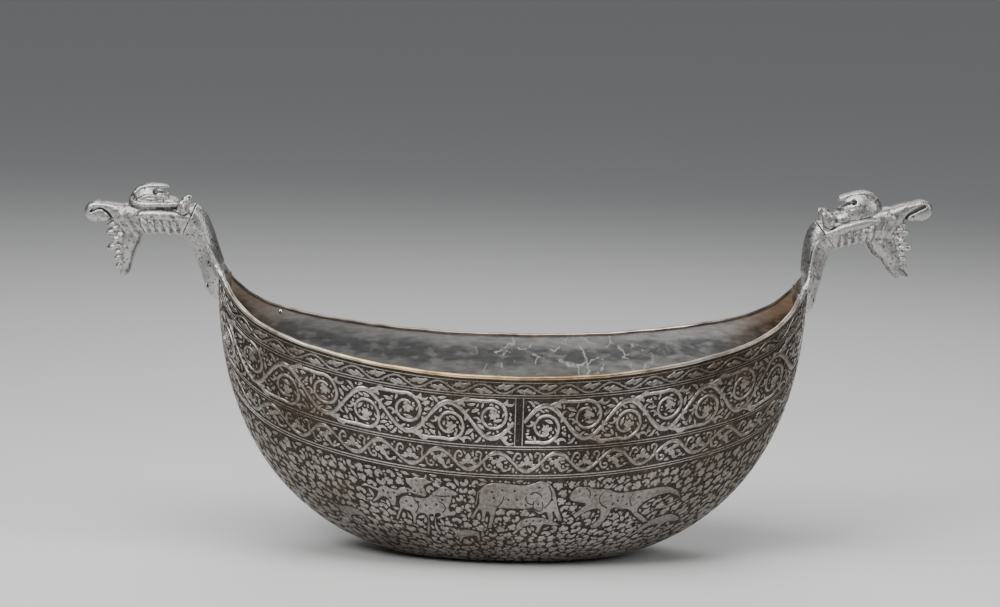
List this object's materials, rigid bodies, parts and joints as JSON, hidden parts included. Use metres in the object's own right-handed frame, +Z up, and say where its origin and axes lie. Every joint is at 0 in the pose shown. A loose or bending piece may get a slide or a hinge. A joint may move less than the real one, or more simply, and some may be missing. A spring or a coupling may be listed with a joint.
{
  "type": "kashkul begging bowl",
  "caption": "Boat-shaped engraved metal begging bowl with a capped rim and an open-mouthed dragon head on a riveted neck at each prow, pierced for a carrying chain.",
  "frame": {"origin": "centre of the flat base on the surface it stands on", "axes": "+X along the bowl towards the head that is on the right in the picture, +Y away from the picture's camera, +Z up"},
  "size_m": [0.5889, 0.192, 0.2622],
  "materials": {
    "tinned_copper": "aged tin over raised copper, engraved, with a blackened ground",
    "worn_brass": "worn, satin",
    "cast_tinned": "pitted casting, tinned, bright on the edges",
    "bare_copper": "dull brown copper"
  },
  "bodies": {
    "root": {"bowl_hull": "tinned_copper", "rim_strip_front": "worn_brass", "rim_strip_back": "worn_brass", "repair_rivet": "tinned_copper", "left_neck": "cast_tinned", "left_head": "cast_tinned", "left_crest": "cast_tinned", "left_lower_jaw": "cast_tinned", "left_ears": "cast_tinned", "left_tenon": "worn_brass", "left_tenon_pin": "cast_tinned", "left_prow_plate": "bare_copper", "left_neck_rivets": "bare_copper", "right_neck": "cast_tinned", "right_head": "cast_tinned", "right_crest": "cast_tinned", "right_lower_jaw": "cast_tinned", "right_ears": "cast_tinned", "right_tenon": "worn_brass", "right_tenon_pin": "cast_tinned", "right_prow_plate": "bare_copper", "right_neck_rivets": "bare_copper"}
  },
  "joints": []
}
